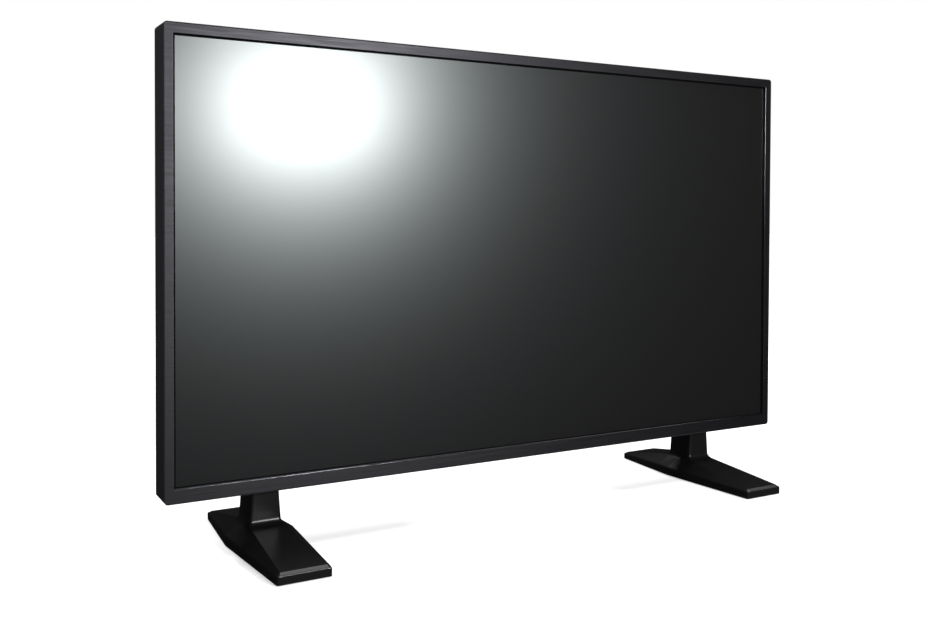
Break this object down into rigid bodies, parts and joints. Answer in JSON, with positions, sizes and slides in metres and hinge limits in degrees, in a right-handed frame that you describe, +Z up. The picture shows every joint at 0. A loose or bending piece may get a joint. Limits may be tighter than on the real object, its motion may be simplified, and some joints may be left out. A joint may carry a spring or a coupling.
{
  "type": "flat screen display",
  "caption": "Large flat screen display in a slim dark bezel, standing on two bolted-on feet, with keys and a connection bay at the back.",
  "frame": {"origin": "on the floor, midway between the two feet and halfway along them", "axes": "+X along the screen to the viewer's right, +Y from the screen to the back, +Z up"},
  "size_m": [1.07, 0.322, 0.7034],
  "materials": {
    "bezel_plastic": "charcoal, fine horizontal hairlines, satin",
    "cover_plastic": "black, fine spark-eroded texture",
    "key_plastic": "black, smooth satin",
    "foot_plastic": "black, satin",
    "screen_film": "near black, anti-glare haze",
    "panel_glass": "thin glass, dark behind its film",
    "gasket_foam": "black foam",
    "foil_amber": "amber polyimide",
    "frame_steel": "black coated sheet",
    "frame_plastic": "white moulding",
    "optical_sheet": "frosted translucent film",
    "guide_acrylic": "clear acrylic",
    "reflector_film": "white film",
    "led_board": "white board with small lamps",
    "rail_aluminium": "extruded, plain",
    "tray_steel": "galvanised sheet",
    "circuit_board": "green solder mask",
    "sink_aluminium": "extruded, plain",
    "socket_steel": "nickel plated sheet",
    "video_plastic": "pale moulding",
    "jack_plastic": "black moulding",
    "mains_plastic": "black moulding",
    "rocker_plastic": "black, glossy",
    "lead_insulation": "black sleeving",
    "ribbon_film": "white flat cable",
    "speaker_plastic": "black moulding",
    "driver_paper": "black paper cone on a steel frame",
    "receiver_plastic": "dark red, glossy",
    "bush_steel": "turned steel",
    "screw_steel": "black zinc plated",
    "stand_steel": "black coated steel",
    "pad_rubber": "black rubber"
  },
  "bodies": {
    "display": {"audio_jack": "jack_plastic", "backlight_tray": "tray_steel", "board_carrier": "tray_steel", "board_screws": "screw_steel", "cover_brackets": "tray_steel", "cover_screws": "screw_steel", "diffuser_sheet": "optical_sheet", "dvi_socket": "video_plastic", "foot_cover_left": "foot_plastic", "foot_cover_right": "foot_plastic", "foot_pads": "pad_rubber", "foot_plates": "stand_steel", "front_bezel": "bezel_plastic", "front_polariser": "screen_film", "hdmi_socket": "socket_steel", "key_board": "circuit_board", "lcd_glass": "panel_glass", "led_rails": "rail_aluminium", "led_strips": "led_board", "light_guide": "guide_acrylic", "main_board": "circuit_board", "main_heatsink": "sink_aluminium", "mains_inlet": "mains_plastic", "mains_leads": "lead_insulation", "mains_switch": "mains_plastic", "module_front_frame": "frame_steel", "module_mid_frame": "frame_plastic", "network_socket": "socket_steel", "panel_films": "foil_amber", "power_board": "circuit_board", "power_harness": "lead_insulation", "power_heatsinks": "sink_aluminium", "prism_sheet": "optical_sheet", "rear_cover": "cover_plastic", "receiver_board": "circuit_board", "receiver_window": "receiver_plastic", "reflector_sheet": "reflector_film", "screen_gasket": "gasket_foam", "signal_ribbon": "ribbon_film", "source_boards": "circuit_board", "speaker_boxes": "speaker_plastic", "speaker_drivers": "driver_paper", "stand_bolts": "screw_steel", "stand_posts": "stand_steel", "stand_sockets": "stand_steel", "terminal_plate": "socket_steel", "timing_board": "circuit_board", "timing_shield": "tray_steel", "usb_socket": "socket_steel", "vga_socket": "video_plastic", "wall_mount_bushes": "bush_steel", "wall_mount_rails": "tray_steel"},
    "energy_key": {"energy_key": "key_plastic"},
    "input_key": {"input_key": "key_plastic"},
    "volume_down_key": {"volume_down_key": "key_plastic"},
    "volume_up_key": {"volume_up_key": "key_plastic"},
    "set_key": {"set_key": "key_plastic"},
    "menu_key": {"menu_key": "key_plastic"},
    "power_key": {"power_key": "key_plastic"},
    "mains_rocker": {"mains_rocker": "rocker_plastic"}
  },
  "joints": [
    {"name": "energy_key_press", "type": "slide", "parent": "display", "child": "energy_key", "axis": [0, -1, 0], "range_m": [0, 0.0006], "stiffness_N_per_m": 400, "springref_m": -0.001},
    {"name": "input_key_press", "type": "slide", "parent": "display", "child": "input_key", "axis": [0, -1, 0], "range_m": [0, 0.0006], "stiffness_N_per_m": 400, "springref_m": -0.001},
    {"name": "volume_down_key_press", "type": "slide", "parent": "display", "child": "volume_down_key", "axis": [0, -1, 0], "range_m": [0, 0.0006], "stiffness_N_per_m": 400, "springref_m": -0.001},
    {"name": "volume_up_key_press", "type": "slide", "parent": "display", "child": "volume_up_key", "axis": [0, -1, 0], "range_m": [0, 0.0006], "stiffness_N_per_m": 400, "springref_m": -0.001},
    {"name": "set_key_press", "type": "slide", "parent": "display", "child": "set_key", "axis": [0, -1, 0], "range_m": [0, 0.0006], "stiffness_N_per_m": 400, "springref_m": -0.001},
    {"name": "menu_key_press", "type": "slide", "parent": "display", "child": "menu_key", "axis": [0, -1, 0], "range_m": [0, 0.0006], "stiffness_N_per_m": 400, "springref_m": -0.001},
    {"name": "power_key_press", "type": "slide", "parent": "display", "child": "power_key", "axis": [0, -1, 0], "range_m": [0, 0.0006], "stiffness_N_per_m": 400, "springref_m": -0.001},
    {"name": "mains_rocker_tilt", "type": "hinge", "parent": "display", "child": "mains_rocker", "pos_m": [-0.086, 0.04, 0.1615], "axis": [0, -1, 0], "range_deg": [0, 16]}
  ]
}
